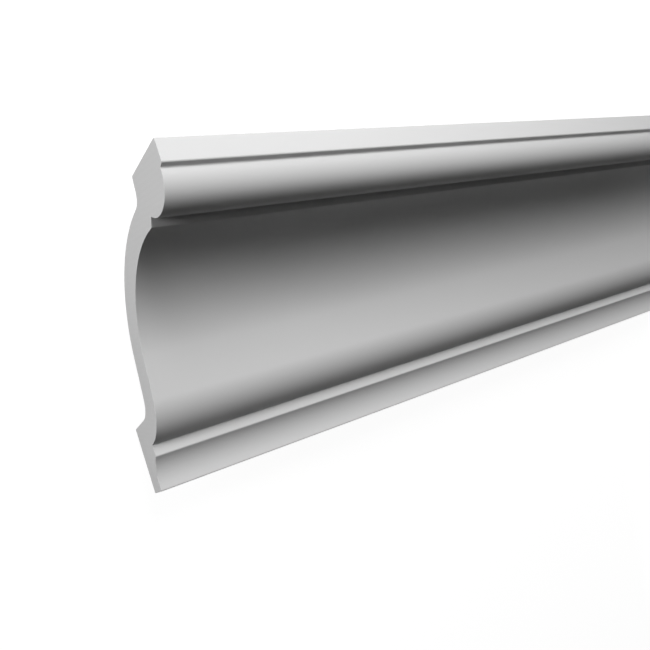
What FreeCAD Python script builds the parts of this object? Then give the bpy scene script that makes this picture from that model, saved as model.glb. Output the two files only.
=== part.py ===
"""Sprung cornice moulding: one moulded length, square cut at both ends, hollow behind its face.

It is stored as it lies on a floor, face up, on the top arris of its wall land and on the belly behind its cove.
+X runs along the length, +Y towards the edge that meets the ceiling, and +Z out of the face. The origin is the
bottom centre of its box. Sizes are in millimetres and angles in degrees.
"""

import FreeCAD, Part
import math
import os
from enum import IntEnum

import Sketcher
from FreeCAD import Vector

NODE = "cornice_moulding"

# "Up" is measured up the wall from the bottom edge, and "out" is measured out from the wall.
SIZES = {
    "length": 2000.0,        # as sold
    "drop": 120.0,           # down the wall, from the ceiling to the bottom edge
    "projection": 120.0,     # along the ceiling, from the wall to the tip
    "wall_land": 32.0,       # flat that is glued to the wall
    "ceiling_land": 29.2,    # flat that is glued to the ceiling
    "shell": 12.3,           # thickness between the face and the hollow back
    "toe_width": 9.8,        # bottom edge, from the wall to the face
    "toe_rise": 1.9,         # upright part of the face above the bottom edge
    "lip_up": 16.0,          # arris between the toe cove and the lip
    "lip_out": 17.2,
    "lip_flat": 5.6,         # upright flat of the lip
    "ogee_radius": 23.3,     # convex half of the ogee
    "ogee_out": 14.0,        # its centre
    "riser_angle": 13.5,     # straight between the ogee's two halves, off the wall
    "cove_radius": 50.2,     # concave half of the ogee
    "quirk_depth": 4.7,      # sunk flat between the cove and the bead
    "quirk_angle": 42.6,     # slope of that flat, off the wall
    "bead_radius": 12.6,
    "step_depth": 2.5,       # from the bead out to the fascia
    "step_rise": 0.8,
    "fascia": 9.7,           # upright flat under the ceiling
    "draft_angle": 13.0,     # lean of the hollow's upper wall, to leave the mould
    "back_corner": 5.7,      # round in the hollow's upper corner
}

# Pieces of the outline that run on into the next one without an arris.
SMOOTH = {"toe", "round", "riser", "back_wall", "corner", "belly", "back_riser", "back_round"}


class Spot(IntEnum):
    """The points of a sketched piece, as the sketcher numbers them."""
    START = 1
    END = 2
    CENTRE = 3


ORIGIN = (-1, Spot.START)


def make_sheet(doc):
    """The driving sizes as a sheet, with a named cell for each."""
    sheet = doc.addObject("Spreadsheet::Sheet", "Sizes")
    for row, (name, value) in enumerate(SIZES.items(), start=1):
        sheet.set(f"A{row}", name)
        sheet.set(f"B{row}", str(value))
        sheet.setAlias(f"B{row}", name)
    doc.recompute()
    return sheet


def heading(angle):
    """Unit vector of the section at an angle in degrees off the wall."""
    return Vector(math.cos(math.radians(angle)), math.sin(math.radians(angle)), 0)


class Section:
    """Corners, centres and tangent points of the section: x is up the wall, y is out from it."""

    def __init__(self, sheet):
        self.sizes = {name: float(sheet.get(name)) for name in SIZES}
        self.place_edges(**self.sizes)
        self.place_face(**self.sizes)
        self.place_back(**self.sizes)

    def place_edges(self, wall_land, toe_width, toe_rise, lip_up, lip_out, lip_flat, drop, projection,
                    fascia, step_rise, step_depth, ceiling_land, bead_radius, quirk_angle, quirk_depth, **_):
        """The flats along the wall and the ceiling, and the small members beside them."""
        self.heel = Vector(0, 0, 0)
        self.wall_top = Vector(wall_land, 0, 0)
        self.toe = Vector(0, toe_width, 0)
        self.toe_top = Vector(toe_rise, toe_width, 0)
        self.lip = Vector(lip_up, lip_out, 0)
        self.lip_top = Vector(lip_up + lip_flat, lip_out, 0)
        self.tip = Vector(drop, projection, 0)
        self.fascia_foot = self.tip - Vector(fascia, 0, 0)
        self.step_foot = self.fascia_foot - Vector(step_rise, step_depth, 0)
        self.ceiling_back = self.tip - Vector(0, ceiling_land, 0)

        # The toe cove leaves the toe upright and ends at the lip.
        across = self.lip - self.toe_top
        self.toe_centre = self.toe_top + Vector(0, across.Length ** 2 / (2 * across.y), 0)

        # The bead is level with the foot of the step, and the quirk's flat points at its centre.
        self.bead_centre = self.step_foot - Vector(0, bead_radius, 0)
        self.quirk_end = self.bead_centre - heading(quirk_angle) * bead_radius
        self.cove_end = self.quirk_end - heading(quirk_angle) * quirk_depth

    def place_face(self, lip_out, ogee_out, ogee_radius, riser_angle, cove_radius, **_):
        """The ogee: a round off the lip, a straight riser, and a cove up to the quirk."""
        riser, face = heading(riser_angle), heading(riser_angle + 90)
        aside = lip_out - ogee_out
        above = math.sqrt(ogee_radius ** 2 - aside ** 2)
        self.ogee_centre = self.lip_top + Vector(above, -aside, 0)
        self.riser_foot = self.ogee_centre + face * ogee_radius

        to_end = self.cove_end - self.riser_foot
        behind = cove_radius - to_end.dot(face)
        reach = to_end.dot(riser) - math.sqrt(cove_radius ** 2 - behind ** 2)
        self.riser_top = self.riser_foot + riser * reach
        self.cove_centre = self.riser_top + face * cove_radius

    def place_back(self, shell, riser_angle, ogee_radius, cove_radius, draft_angle, back_corner, **_):
        """The hollow back: it keeps one shell thickness from the ogee, and ends at the two lands."""
        face = heading(riser_angle + 90)
        inner = ogee_radius - shell
        self.outer = cove_radius + shell
        self.back_foot = self.ogee_centre + face * inner
        self.back_top = self.cove_centre - face * self.outer

        # From the back of the round the skin runs straight to the wall land.
        to_centre = self.ogee_centre - self.wall_top
        angle = math.degrees(math.atan2(to_centre.y, to_centre.x) + math.asin(inner / to_centre.Length))
        self.skin_end = self.wall_top + heading(angle) * math.sqrt(to_centre.Length ** 2 - inner ** 2)

        # The round in the upper corner touches the leaning wall and the belly.
        down, aside = heading(draft_angle + 180), heading(draft_angle - 90)
        start = self.ceiling_back + aside * back_corner
        offset = start - self.cove_centre
        reach = self.outer + back_corner
        slide = -offset.dot(down) - math.sqrt(offset.dot(down) ** 2 - offset.Length ** 2 + reach ** 2)
        self.corner_centre = start + down * slide
        self.corner_top = self.corner_centre - aside * back_corner
        self.corner_end = self.cove_centre + (self.corner_centre - self.cove_centre) * (self.outer / reach)

    def lean(self):
        """Angle off the wall of the line that joins the wall land's top arris to the belly."""
        to_centre = self.cove_centre - self.wall_top
        return math.degrees(math.atan2(to_centre.y, to_centre.x) - math.asin(self.outer / to_centre.Length))


class Outline:
    """The closed outline in its sketch. Each piece keeps which of its ends comes first on the way round."""

    def __init__(self, sketch, sizes):
        self.sketch = sketch
        self.sizes = sizes
        self.pieces = {}

    def line(self, name, first, last, turned=False):
        """A straight piece. A turned one is drawn from its last end, so that its size is positive."""
        ends = (last, first) if turned else (first, last)
        index = self.sketch.addGeometry(Part.LineSegment(*ends))
        self.pieces[name] = (index, Spot.END, Spot.START) if turned else (index, Spot.START, Spot.END)

    def arc(self, name, centre, first, last, hollow=False):
        """A round piece, which a hollow in the moulding turns to the left."""
        ends = (first, last) if hollow else (last, first)
        angles = [math.atan2(end.y - centre.y, end.x - centre.x) for end in ends]
        circle = Part.Circle(centre, Vector(0, 0, 1), (first - centre).Length)
        index = self.sketch.addGeometry(Part.ArcOfCircle(circle, *angles))
        self.pieces[name] = (index, Spot.START, Spot.END) if hollow else (index, Spot.END, Spot.START)

    def whole(self, name):
        return self.pieces[name][:1]

    def first(self, name):
        return self.pieces[name][0], self.pieces[name][1]

    def last(self, name):
        return self.pieces[name][0], self.pieces[name][2]

    def centre(self, name):
        return self.pieces[name][0], Spot.CENTRE

    def hold(self, kind, *places):
        """A rule that has no size."""
        self.sketch.addConstraint(Sketcher.Constraint(kind, *sum(places, ())))

    def join(self):
        """Each piece ends where the next begins, and runs on smoothly where there is no arris."""
        names = list(self.pieces)
        for name, following in zip(names, names[1:] + names[:1]):
            self.hold("Tangent" if name in SMOOTH else "Coincident", self.last(name), self.first(following))

    def size(self, kind, name, *places):
        """A size that follows its cell of the sheet."""
        value, unit = self.sizes[name], "mm"
        if kind == "Angle":
            value, unit = math.radians(value), "deg"
        index = self.sketch.addConstraint(Sketcher.Constraint(kind, *sum(places, ()), value))
        self.sketch.setExpression(f"Constraints[{index}]", f"Sizes.{name} * 1 {unit}")


def draw_pieces(outline, at):
    """The way round the section: up the face, along the ceiling and down the hollow back."""
    outline.line("bottom", at.heel, at.toe)
    outline.line("toe", at.toe, at.toe_top)
    outline.arc("toe_cove", at.toe_centre, at.toe_top, at.lip, hollow=True)
    outline.line("lip", at.lip, at.lip_top)
    outline.arc("round", at.ogee_centre, at.lip_top, at.riser_foot)
    outline.line("riser", at.riser_foot, at.riser_top)
    outline.arc("cove", at.cove_centre, at.riser_top, at.cove_end, hollow=True)
    outline.line("quirk", at.cove_end, at.quirk_end)
    outline.arc("bead", at.bead_centre, at.quirk_end, at.step_foot)
    outline.line("step", at.step_foot, at.fascia_foot)
    outline.line("fascia", at.fascia_foot, at.tip)
    outline.line("ceiling", at.tip, at.ceiling_back, turned=True)
    outline.line("back_wall", at.ceiling_back, at.corner_top, turned=True)
    outline.arc("corner", at.corner_centre, at.corner_top, at.corner_end, hollow=True)
    outline.arc("belly", at.cove_centre, at.corner_end, at.back_top)
    outline.line("back_riser", at.back_top, at.back_foot)
    outline.arc("back_round", at.ogee_centre, at.back_foot, at.skin_end, hollow=True)
    outline.line("skin", at.skin_end, at.wall_top)
    outline.line("wall", at.wall_top, at.heel, turned=True)


def fix_pieces(outline):
    """The rules and sizes that leave the outline no freedom."""
    outline.join()
    outline.hold("Coincident", ORIGIN, outline.first("bottom"))
    for name in ("toe", "lip", "fascia", "wall"):
        outline.hold("Horizontal", outline.whole(name))
    for name in ("bottom", "ceiling"):
        outline.hold("Vertical", outline.whole(name))
    outline.hold("Vertical", outline.centre("bead"), outline.last("bead"))
    outline.hold("PointOnObject", outline.centre("bead"), outline.whole("quirk"))
    outline.hold("Coincident", outline.centre("belly"), outline.centre("cove"))
    outline.hold("Coincident", outline.centre("back_round"), outline.centre("round"))

    outline.size("DistanceX", "drop", ORIGIN, outline.first("ceiling"))
    outline.size("DistanceY", "projection", ORIGIN, outline.first("ceiling"))
    outline.size("DistanceX", "wall_land", outline.whole("wall"))
    outline.size("DistanceY", "ceiling_land", outline.whole("ceiling"))
    outline.size("DistanceY", "toe_width", outline.whole("bottom"))
    outline.size("DistanceX", "toe_rise", outline.whole("toe"))
    outline.size("DistanceX", "lip_up", ORIGIN, outline.first("lip"))
    outline.size("DistanceY", "lip_out", ORIGIN, outline.first("lip"))
    outline.size("DistanceX", "lip_flat", outline.whole("lip"))
    outline.size("DistanceX", "fascia", outline.whole("fascia"))
    outline.size("DistanceX", "step_rise", outline.whole("step"))
    outline.size("DistanceY", "step_depth", outline.whole("step"))

    outline.size("DistanceY", "ogee_out", ORIGIN, outline.centre("round"))
    outline.size("Radius", "ogee_radius", outline.whole("round"))
    outline.size("Angle", "riser_angle", outline.whole("riser"))
    outline.size("Radius", "cove_radius", outline.whole("cove"))
    outline.size("Radius", "bead_radius", outline.whole("bead"))
    outline.size("Distance", "quirk_depth", outline.whole("quirk"))
    outline.size("Angle", "quirk_angle", outline.whole("quirk"))

    outline.size("Distance", "shell", outline.first("back_riser"), outline.whole("riser"))
    outline.size("Distance", "shell", outline.last("back_riser"), outline.whole("riser"))
    outline.size("Angle", "draft_angle", outline.whole("back_wall"))
    outline.size("Radius", "back_corner", outline.whole("corner"))


def make_moulding(doc, sheet, section):
    """The section, run along the whole length."""
    body = doc.addObject("PartDesign::Body", "CorniceMoulding")
    body.Label = NODE
    across = next(plane for plane in body.Origin.OriginFeatures if plane.Role == "YZ_Plane")
    sketch = body.newObject("Sketcher::SketchObject", "SectionSketch")
    sketch.AttachmentSupport = [(across, "")]
    sketch.MapMode = "FlatFace"
    outline = Outline(sketch, section.sizes)
    draw_pieces(outline, section)
    fix_pieces(outline)
    doc.recompute()
    if sketch.solve() or not sketch.FullyConstrained:
        raise RuntimeError("the section is not fully fixed")

    pad = body.newObject("PartDesign::Pad", "MouldedLength")
    pad.Profile = sketch
    pad.SideType = "Symmetric"
    pad.setExpression("Length", f"{sheet.Name}.length * 1 mm")
    body.Tip = pad
    doc.recompute()
    return body


def lay_down(body, section):
    """Turn the body until the wall land's top arris and the belly lie level, and set it on the floor."""
    turn = FreeCAD.Rotation(Vector(1, 0, 0), -section.lean())
    body.Placement = FreeCAD.Placement(Vector(0, 0, 0), turn)
    across = [turn.multVec(Vector(0, corner.x, corner.y)).y for corner in (section.heel, section.tip)]
    floor = turn.multVec(Vector(0, section.wall_top.x, section.wall_top.y)).z
    body.Placement = FreeCAD.Placement(Vector(0, -sum(across) / 2, -floor), turn)


def check(doc, bodies):
    """Stop where an object has failed or a shape is not sound."""
    for item in doc.Objects:
        if "Invalid" in item.State or "Error" in item.State:
            raise RuntimeError(f"{item.Name} failed: {item.State}")
    for body in bodies:
        if body.Shape.isNull() or not body.Shape.isValid() or len(body.Shape.Solids) != 1:
            raise RuntimeError(f"{body.Label} is not one sound solid")


def main():
    doc = FreeCAD.newDocument("Cornice")
    sheet = make_sheet(doc)
    section = Section(sheet)
    moulding = make_moulding(doc, sheet, section)
    lay_down(moulding, section)
    doc.recompute()
    check(doc, [moulding])
    os.makedirs("parts", exist_ok=True)
    moulding.Shape.exportStep(os.path.join("parts", moulding.Label + ".step"))
    print(moulding.Label, moulding.Shape.BoundBox, "volume", round(moulding.Shape.Volume), "mm3")


main()
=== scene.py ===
"""One length of sprung cornice moulding, as it lies face up on a pale studio floor."""

import math

import bmesh
import bpy
from mathutils import Matrix, Quaternion, Vector


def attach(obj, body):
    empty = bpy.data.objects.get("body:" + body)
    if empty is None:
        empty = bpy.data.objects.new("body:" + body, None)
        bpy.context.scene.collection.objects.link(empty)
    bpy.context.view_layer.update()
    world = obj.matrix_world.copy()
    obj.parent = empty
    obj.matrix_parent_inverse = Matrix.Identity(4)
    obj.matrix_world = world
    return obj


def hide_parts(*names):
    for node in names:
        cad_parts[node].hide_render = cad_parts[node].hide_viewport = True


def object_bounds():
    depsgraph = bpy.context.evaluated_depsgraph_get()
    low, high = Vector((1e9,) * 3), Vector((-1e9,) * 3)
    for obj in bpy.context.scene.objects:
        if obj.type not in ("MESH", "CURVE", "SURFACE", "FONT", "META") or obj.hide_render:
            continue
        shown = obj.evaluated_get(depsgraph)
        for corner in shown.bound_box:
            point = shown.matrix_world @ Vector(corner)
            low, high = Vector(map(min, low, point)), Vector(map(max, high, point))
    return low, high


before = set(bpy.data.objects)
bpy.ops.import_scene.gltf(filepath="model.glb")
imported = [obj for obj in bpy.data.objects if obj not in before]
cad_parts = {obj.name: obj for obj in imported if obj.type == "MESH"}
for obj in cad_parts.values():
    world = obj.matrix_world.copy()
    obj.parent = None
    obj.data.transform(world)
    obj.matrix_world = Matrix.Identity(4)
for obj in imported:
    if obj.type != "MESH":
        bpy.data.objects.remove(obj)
cad_low, cad_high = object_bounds()


# The camera looks down on the moulding from just outside its near end. It is turned about its line of sight,
# so that the picture shows the moulding as it hangs on its wall, seen from the height of its bottom edge.
NEAR_END = cad_low.x
EYE = Vector((NEAR_END - 0.0958, 0.11707, 0.26778))
AIM = Vector((NEAR_END + 0.11322, -0.02876, 0.0))
ROLL = math.radians(119.588)
LENS = 36.257
SENSOR = 36

camera = bpy.data.objects.new("camera", bpy.data.cameras.new("camera"))
camera.data.lens = LENS
camera.data.sensor_width = SENSOR
camera.data.clip_start = 0.01
camera.location = EYE
camera.rotation_mode = "QUATERNION"
camera.rotation_quaternion = (AIM - EYE).to_track_quat("-Z", "Y") @ Quaternion((0, 0, 1), ROLL)
bpy.context.scene.collection.objects.link(camera)
bpy.context.scene.camera = camera


# The moulding is rigid polyurethane foam, cast in one long mould with a closed skin and primed in the
# factory. Its section is drawn as it stands on the wall, y up from the bottom edge and z out from the wall,
# and it is then run along the whole length. Every arris is as soft as the mould left it.
DROP = 0.1200
PROJECTION = 0.1200
WALL_LAND = 0.0320
CEILING_LAND = 0.0292
SHELL = 0.0123
TOE_WIDTH = 0.0098
TOE_RISE = 0.0019
LIP_UP = 0.0160
LIP_OUT = 0.0172
LIP_FLAT = 0.0056
OGEE_RADIUS = 0.0233
OGEE_OUT = 0.0140
RISER_ANGLE = 13.5
COVE_RADIUS = 0.0502
QUIRK_DEPTH = 0.0047
QUIRK_ANGLE = 42.6
BEAD_RADIUS = 0.0126
STEP_DEPTH = 0.0025
STEP_RISE = 0.0008
FASCIA = 0.0097
DRAFT_ANGLE = 13
BACK_CORNER = 0.0057
FACET = 0.0011

UP = Vector((0, 1, 0))
OUT = Vector((0, 0, 1))
ALONG = Vector((1, 0, 0))


def off_wall(degrees):
    """Direction in the section at an angle off the wall: 0 is up, and 90 is straight out."""
    return Matrix.Rotation(math.radians(degrees), 3, ALONG) @ UP


heel = NEAR_END * ALONG
wall_top = heel + WALL_LAND * UP
toe = heel + TOE_WIDTH * OUT
toe_top = toe + TOE_RISE * UP
lip = heel + LIP_UP * UP + LIP_OUT * OUT
lip_top = lip + LIP_FLAT * UP
tip = heel + DROP * UP + PROJECTION * OUT
fascia_foot = tip - FASCIA * UP
step_foot = fascia_foot - STEP_RISE * UP - STEP_DEPTH * OUT
ceiling_back = tip - CEILING_LAND * OUT

# The bead stands on the quirk, a sunk flat that points at its centre.
bead_centre = step_foot - BEAD_RADIUS * OUT
quirk_end = bead_centre - BEAD_RADIUS * off_wall(QUIRK_ANGLE)
cove_end = quirk_end - QUIRK_DEPTH * off_wall(QUIRK_ANGLE)

# The toe cove leaves the toe upright.
across = lip - toe_top
toe_centre = toe_top + across.length_squared / (2 * across.z) * OUT

# The ogee: a round off the lip, a straight riser, and the cove.
riser, face = off_wall(RISER_ANGLE), off_wall(RISER_ANGLE + 90)
aside = LIP_OUT - OGEE_OUT
ogee_centre = lip_top - aside * OUT + math.sqrt(OGEE_RADIUS ** 2 - aside ** 2) * UP
riser_foot = ogee_centre + OGEE_RADIUS * face
to_cove_end = cove_end - riser_foot
behind = COVE_RADIUS - to_cove_end.dot(face)
riser_top = riser_foot + (to_cove_end.dot(riser) - math.sqrt(COVE_RADIUS ** 2 - behind ** 2)) * riser
cove_centre = riser_top + COVE_RADIUS * face

# The back keeps one shell thickness from the ogee. Below it the skin runs straight to the wall land, and
# above it a small round leads into the leaning wall behind the ceiling land.
BACK_ROUND = OGEE_RADIUS - SHELL
BELLY_RADIUS = COVE_RADIUS + SHELL
back_foot = ogee_centre + BACK_ROUND * face
back_top = cove_centre - BELLY_RADIUS * face
to_ogee = ogee_centre - wall_top
skin_angle = math.degrees(math.atan2(to_ogee.z, to_ogee.y) + math.asin(BACK_ROUND / to_ogee.length))
skin_end = wall_top + math.sqrt(to_ogee.length_squared - BACK_ROUND ** 2) * off_wall(skin_angle)
draft_down, draft_in = off_wall(DRAFT_ANGLE + 180), off_wall(DRAFT_ANGLE - 90)
corner_start = ceiling_back + BACK_CORNER * draft_in
from_cove = corner_start - cove_centre
corner_reach = BELLY_RADIUS + BACK_CORNER
slide = math.sqrt(from_cove.dot(draft_down) ** 2 - from_cove.length_squared + corner_reach ** 2)
corner_centre = corner_start - (from_cove.dot(draft_down) + slide) * draft_down
corner_top = corner_centre - BACK_CORNER * draft_in
corner_end = cove_centre + BELLY_RADIUS / corner_reach * (corner_centre - cove_centre)

# The way round the section: each stretch is straight, or round a centre, and ends at an arris that is
# softened that far each side. An arris of zero is where two stretches run on smoothly.
STRETCHES = (
    ("face", toe, None, 0.0005),
    ("face", toe_top, None, 0),
    ("face", lip, toe_centre, 0.0005),
    ("face", lip_top, None, 0.0004),
    ("face", riser_foot, ogee_centre, 0),
    ("face", riser_top, None, 0),
    ("face", cove_end, cove_centre, 0.0004),
    ("face", quirk_end, None, 0.0004),
    ("face", step_foot, bead_centre, 0.0006),
    ("face", fascia_foot, None, 0.0006),
    ("face", tip, None, 0.0005),
    ("face", ceiling_back, None, 0.0005),
    ("back", corner_top, None, 0),
    ("back", corner_end, corner_centre, 0),
    ("back", back_top, cove_centre, 0),
    ("back", back_foot, None, 0),
    ("back", skin_end, ogee_centre, 0),
    ("back", wall_top, None, 0.0005),
)
HEEL_ARRIS = 0.0004
END_ARRIS = 0.00008


def run_straight(section, pen, point):
    """Draw the section straight on to a point."""
    fresh = bmesh.ops.extrude_vert_indiv(section, verts=[pen])["verts"][0]
    bmesh.ops.translate(section, verts=[fresh], vec=point - pen.co)
    return fresh


def run_round(section, pen, point, centre):
    """Draw the section round a centre on to a point, in short facets."""
    start, end = pen.co - centre, point - centre
    angle = math.atan2(ALONG.dot(start.cross(end)), start.dot(end))
    steps = max(2, round(abs(angle) * start.length / FACET))
    spun = bmesh.ops.spin(section, geom=[pen], cent=centre, axis=ALONG, angle=angle, steps=steps)
    return next(item for item in spun["geom_last"] if isinstance(item, bmesh.types.BMVert))


def long_edge(vert):
    """The edge that runs along the moulding from a corner of its section."""
    return max(vert.link_edges, key=lambda edge: edge.calc_length())


moulding = bmesh.new()
pen = start = bmesh.ops.create_vert(moulding, co=heel)["vert"][0]
corners = [(start, HEEL_ARRIS)]
back_edges = []
for side, point, centre, arris in STRETCHES:
    drawn = len(moulding.edges)
    if centre is None:
        pen = run_straight(moulding, pen, point)
    else:
        pen = run_round(moulding, pen, point, centre)
    moulding.edges.ensure_lookup_table()
    if side == "back":
        back_edges += moulding.edges[drawn:]
    corners.append((pen, arris))
bmesh.ops.contextual_create(moulding, geom=[pen, start])
near_cap = bmesh.ops.contextual_create(moulding, geom=moulding.edges)["faces"]
run = bmesh.ops.extrude_face_region(moulding, geom=near_cap, use_keep_orig=True)["geom"]
far_verts = [item for item in run if isinstance(item, bmesh.types.BMVert)]
bmesh.ops.translate(moulding, verts=far_verts, vec=(cad_high.x - cad_low.x) * ALONG)


# The face is finish 0, the hollow back 1 and the sawn ends 2.
for edge in back_edges:
    for side_face in edge.link_faces:
        side_face.material_index = 1
for cap in near_cap + [item for item in run if isinstance(item, bmesh.types.BMFace)]:
    cap.material_index = 2

# It lies on the top arris of its wall land and on the belly behind its cove.
to_cove = cove_centre - wall_top
lean = math.atan2(to_cove.z, to_cove.y) - math.asin(BELLY_RADIUS / to_cove.length)
turn = Matrix.Rotation(-lean, 4, ALONG)
seat = Matrix.Translation((0, cad_high.y - (turn @ tip).y, -(turn @ wall_top).z)) @ turn
bmesh.ops.transform(moulding, matrix=seat, verts=moulding.verts)

for corner, arris in corners:
    if arris:
        bmesh.ops.bevel(moulding, geom=[long_edge(corner)], offset=arris, offset_type="OFFSET", segments=3,
                        profile=0.5, affect="EDGES", material=-1)
for end in (cad_low.x, cad_high.x):
    rim = [edge for edge in moulding.edges if all(abs(vert.co.x - end) < END_ARRIS for vert in edge.verts)]
    bmesh.ops.bevel(moulding, geom=rim, offset=END_ARRIS, offset_type="OFFSET", segments=1, profile=0.5,
                    affect="EDGES", material=-1)
bmesh.ops.recalc_face_normals(moulding, faces=moulding.faces)

cornice = bpy.data.objects.new("primed_cornice", bpy.data.meshes.new("primed_cornice"))
moulding.to_mesh(cornice.data)
moulding.free()
cornice.data.shade_smooth()
cornice.modifiers.new("flats_stay_flat", "WEIGHTED_NORMAL")
bpy.context.scene.collection.objects.link(cornice)


def linear(hex_colour):
    """An sRGB hex colour as linear RGBA."""
    channels = [int(hex_colour[place:place + 2], 16) / 255 for place in (1, 3, 5)]
    return [(c / 12.92 if c <= 0.04045 else ((c + 0.055) / 1.055) ** 2.4) for c in channels] + [1.0]


def add_node(tree, kind, inputs=None, **settings):
    """Add a node with its settings; an input is a plain value or another node's output."""
    node = tree.nodes.new(kind)
    for name, value in settings.items():
        setattr(node, name, value)
    for name, value in (inputs or {}).items():
        if isinstance(value, bpy.types.NodeSocket):
            tree.links.new(value, node.inputs[name])
        else:
            node.inputs[name].default_value = value
    return node


def new_finish(name):
    """An empty material and its tree."""
    material = bpy.data.materials.new(name)
    material.use_nodes = True
    material.node_tree.nodes.clear()
    return material, material.node_tree


# Acrylic primer, sprayed matt on the moulded skin: an even pale grey with no gloss. Its orange peel is so
# shallow that it shows only close by, and each pass of the gun leaves a hardly thinner or fuller band.
PRIMER = "#D8D8D8"
PRIMER_THINNEST = 0.985
PRIMER_IOR = 1.47
PRIMER_GLOSS = 0.06
PRIMER_SMOOTHEST = 0.70
PRIMER_ROUGHEST = 0.78
PASS = 0.090
PEEL = 0.0014
PEEL_DEPTH = 0.000004

primer, tree = new_finish("sprayed_acrylic_primer")
place = add_node(tree, "ShaderNodeTexCoord").outputs["Object"]
passes = add_node(tree, "ShaderNodeTexNoise", {
    "Vector": place, "Scale": 1 / PASS, "Detail": 2.0}).outputs["Fac"]
cover = add_node(tree, "ShaderNodeMapRange", {"Value": passes, "To Min": PRIMER_THINNEST, "To Max": 1.0})
tone = add_node(tree, "ShaderNodeHueSaturation", {"Color": linear(PRIMER), "Value": cover.outputs["Result"]})
peel = add_node(tree, "ShaderNodeTexNoise", {
    "Vector": place, "Scale": 1 / PEEL, "Detail": 1.0}).outputs["Fac"]
sheen = add_node(tree, "ShaderNodeMapRange", {
    "Value": peel, "To Min": PRIMER_SMOOTHEST, "To Max": PRIMER_ROUGHEST})
relief = add_node(tree, "ShaderNodeBump", {"Height": peel, "Distance": PEEL_DEPTH, "Strength": 1.0})
coat = add_node(tree, "ShaderNodeBsdfPrincipled", {
    "Base Color": tone.outputs["Color"], "Roughness": sheen.outputs["Result"], "IOR": PRIMER_IOR,
    "Specular IOR Level": PRIMER_GLOSS, "Normal": relief.outputs["Normal"]})
add_node(tree, "ShaderNodeOutputMaterial", {"Surface": coat.outputs["BSDF"]})

# The back is the bare skin of the foam as it left the mould: the same pale grey, a little silkier, with
# shallow flow marks where the foam rose along the mould, and a few pinholes, painted as darker dots: painted
# shade in the holes.
SKIN = "#D2D2D0"
SKIN_DARKEST = 0.95
SKIN_ROUGHNESS = 0.5
FOAM_IOR = 1.5
FLOW = 0.025
FLOW_STRETCH = 4
FLOW_DEPTH = 0.00015
PINHOLE = 0.012
PINHOLE_SIZE = 0.0005
PINHOLE_SHADE = 0.55

skin, tree = new_finish("moulded_foam_skin")
place = add_node(tree, "ShaderNodeTexCoord").outputs["Object"]
stretched = add_node(tree, "ShaderNodeMapping", {
    "Vector": place, "Scale": (1 / FLOW_STRETCH, 1.0, 1.0)}).outputs["Vector"]
flow = add_node(tree, "ShaderNodeTexNoise", {
    "Vector": stretched, "Scale": 1 / FLOW, "Detail": 3.0, "Distortion": 0.6}).outputs["Fac"]
stain = add_node(tree, "ShaderNodeMapRange", {"Value": flow, "To Min": SKIN_DARKEST, "To Max": 1.0})
to_hole = add_node(tree, "ShaderNodeTexVoronoi", {"Vector": place, "Scale": 1 / PINHOLE}).outputs["Distance"]
# Each pinhole is only a darker dot of colour, a painted shade in the hole; the bump does not sink it.
painted_pinhole_shade = add_node(tree, "ShaderNodeMapRange", {
    "Value": to_hole, "From Max": PINHOLE_SIZE / PINHOLE, "To Min": PINHOLE_SHADE, "To Max": 1.0})
flow_marks_and_pinhole_shade = add_node(tree, "ShaderNodeMath", {
    0: stain.outputs["Result"], 1: painted_pinhole_shade.outputs["Result"]}, operation="MULTIPLY")
tone = add_node(tree, "ShaderNodeHueSaturation", {"Color": linear(SKIN), "Value": flow_marks_and_pinhole_shade.outputs["Value"]})
relief = add_node(tree, "ShaderNodeBump", {"Height": flow, "Distance": FLOW_DEPTH, "Strength": 1.0})
coat = add_node(tree, "ShaderNodeBsdfPrincipled", {
    "Base Color": tone.outputs["Color"], "Roughness": SKIN_ROUGHNESS, "IOR": FOAM_IOR,
    "Normal": relief.outputs["Normal"]})
add_node(tree, "ShaderNodeOutputMaterial", {"Surface": coat.outputs["BSDF"]})

# The ends are sawn foam: a dull even grey of cut cells, finer than the eye resolves, with the faint slanting
# lines of the saw. Both are drawn a little coarser than they are.
SAWN = "#D5D5D5"
SAWN_DARKEST = 0.985
SAWN_ROUGHNESS = 0.85
SAWN_GLOSS = 0.2
CELL = 0.0007
CELL_DEPTH = 0.00003
CELL_RELIEF = 0.4
SAW_LINE = 0.0022
SAW_TILT = math.radians(25)
SAW_WANDER = 1.5
# A wave texture at scale 1 has this many waves in a metre.
WAVES_A_METRE = 20 / math.tau

sawn, tree = new_finish("sawn_foam")
place = add_node(tree, "ShaderNodeTexCoord").outputs["Object"]
cells = add_node(tree, "ShaderNodeTexVoronoi", {"Vector": place, "Scale": 1 / CELL}).outputs["Distance"]
tilted = add_node(tree, "ShaderNodeMapping", {
    "Vector": place, "Rotation": (SAW_TILT, 0, 0)}).outputs["Vector"]
lines = add_node(tree, "ShaderNodeTexWave", {
    "Vector": tilted, "Scale": 1 / (SAW_LINE * WAVES_A_METRE), "Distortion": SAW_WANDER},
    bands_direction="Y").outputs["Fac"]
cut = add_node(tree, "ShaderNodeMath", {0: cells, 1: lines}, operation="ADD").outputs["Value"]
shade = add_node(tree, "ShaderNodeMapRange", {
    "Value": cut, "From Max": 2.0, "To Min": 1.0, "To Max": SAWN_DARKEST})
tone = add_node(tree, "ShaderNodeHueSaturation", {"Color": linear(SAWN), "Value": shade.outputs["Result"]})
relief = add_node(tree, "ShaderNodeBump", {"Height": cut, "Distance": CELL_DEPTH, "Strength": CELL_RELIEF})
coat = add_node(tree, "ShaderNodeBsdfPrincipled", {
    "Base Color": tone.outputs["Color"], "Roughness": SAWN_ROUGHNESS, "IOR": FOAM_IOR,
    "Specular IOR Level": SAWN_GLOSS, "Normal": relief.outputs["Normal"]})
add_node(tree, "ShaderNodeOutputMaterial", {"Surface": coat.outputs["BSDF"]})

for finish in (primer, skin, sawn):
    cornice.data.materials.append(finish)
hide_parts("cornice_moulding")
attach(cornice, "root")


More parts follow.
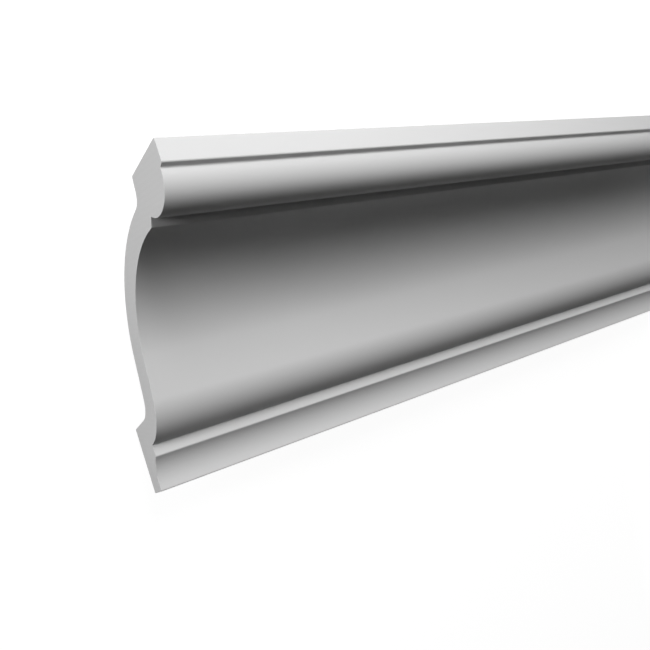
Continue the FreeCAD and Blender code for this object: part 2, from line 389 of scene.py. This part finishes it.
# The floor is a matt pale sheet that runs on to a horizon as pale as itself. The camera, and any gloss, sees
# it nearly white with the moulding's faint shadow on it. The light that it throws back on the moulding is
# that of a grey.
FLOOR_HALF = 8.0
FLOOR_SEEN = "#7C7C7C"
FLOOR_GLOW = 0.955
FLOOR_GREY = "#6E6E6E"
HORIZON_GLOW = 0.96
HAZE = 0.004


def add_seen(tree):
    """One where the camera, a reflection or clear glass looks, and nought where light bounces."""
    path = add_node(tree, "ShaderNodeLightPath").outputs
    seen = path["Is Camera Ray"]
    for ray in ("Is Glossy Ray", "Is Transmission Ray"):
        seen = add_node(tree, "ShaderNodeMath", {0: seen, 1: path[ray]}, operation="MAXIMUM").outputs["Value"]
    return seen


sheet = bmesh.new()
bmesh.ops.create_grid(sheet, x_segments=1, y_segments=1, size=FLOOR_HALF)
floor = bpy.data.objects.new("floor", bpy.data.meshes.new("floor"))
sheet.to_mesh(floor.data)
sheet.free()
bpy.context.scene.collection.objects.link(floor)
pale, tree = new_finish("pale_floor")
grey = add_node(tree, "ShaderNodeBsdfDiffuse", {"Color": linear(FLOOR_GREY)})
white = add_node(tree, "ShaderNodeBsdfDiffuse", {"Color": linear(FLOOR_SEEN)})
glow = add_node(tree, "ShaderNodeEmission", {"Strength": FLOOR_GLOW})
lit = add_node(tree, "ShaderNodeAddShader", {0: white.outputs["BSDF"], 1: glow.outputs["Emission"]})
looks = add_node(tree, "ShaderNodeMixShader", {
    0: add_seen(tree), 1: grey.outputs["BSDF"], 2: lit.outputs["Shader"]})
add_node(tree, "ShaderNodeOutputMaterial", {"Surface": looks.outputs["Shader"]})
floor.data.materials.append(pale)

world = bpy.data.worlds.new("pale_room")
world.use_nodes = True
world.node_tree.nodes.clear()
white = add_node(world.node_tree, "ShaderNodeBackground", {
    "Strength": HORIZON_GLOW, "Color": linear("#FFFFFF")})
dim = add_node(world.node_tree, "ShaderNodeBackground", {"Strength": HAZE, "Color": linear("#FFFFFF")})
looks = add_node(world.node_tree, "ShaderNodeMixShader", {
    0: add_seen(world.node_tree), 1: dim.outputs["Background"], 2: white.outputs["Background"]})
add_node(world.node_tree, "ShaderNodeOutputWorld", {"Surface": looks.outputs["Shader"]})
bpy.context.scene.world = world


# A row of square soft lamps stands along the moulding, on the side of the edge that meets the ceiling, and
# one more stands off each end. Two fill in from the other side, turned away from the near end, which keeps
# its dark hollows. Each has its place, the place that it faces, its width and its power in watts.
FAR_END = cad_high.x
NEAR_PART = (NEAR_END + 0.15, 0, 0.03)
FAR_PART = (FAR_END - 0.15, 0, 0.03)
LAMPS = {
    "near_lamp": ((NEAR_END + 0.024, 0.469, 0.288), NEAR_PART, 0.28, 2.2),
    "middle_lamp": ((-0.05, 0.47, 0.29), (-0.05, 0, 0.03), 0.30, 1.8),
    "further_lamp": ((0.50, 0.47, 0.29), (0.50, 0, 0.03), 0.30, 1.8),
    "far_lamp": ((1.05, 0.47, 0.29), (1.05, 0, 0.03), 0.30, 1.8),
    "near_end_lamp": ((NEAR_END - 1.23, 0.50, 0.34), NEAR_PART, 0.68, 13.6),
    "far_end_lamp": ((FAR_END + 1.23, 0.50, 0.34), FAR_PART, 0.68, 13.6),
    "middle_fill_lamp": ((-0.15, -0.55, 0.40), (0.75, 0, 0.03), 0.35, 2.2),
    "far_fill_lamp": ((0.50, -0.55, 0.40), (1.10, 0, 0.03), 0.35, 1.7),
}
for name, (stand, aim, width, power) in LAMPS.items():
    lamp = bpy.data.objects.new(name, bpy.data.lights.new(name, "AREA"))
    lamp.data.shape = "SQUARE"
    lamp.data.size = width
    lamp.data.energy = power
    lamp.location = stand
    lamp.rotation_mode = "QUATERNION"
    lamp.rotation_quaternion = (Vector(aim) - Vector(stand)).to_track_quat("-Z", "Y")
    bpy.context.scene.collection.objects.link(lamp)

view_settings = bpy.context.scene.view_settings
view_settings.view_transform = "Standard"
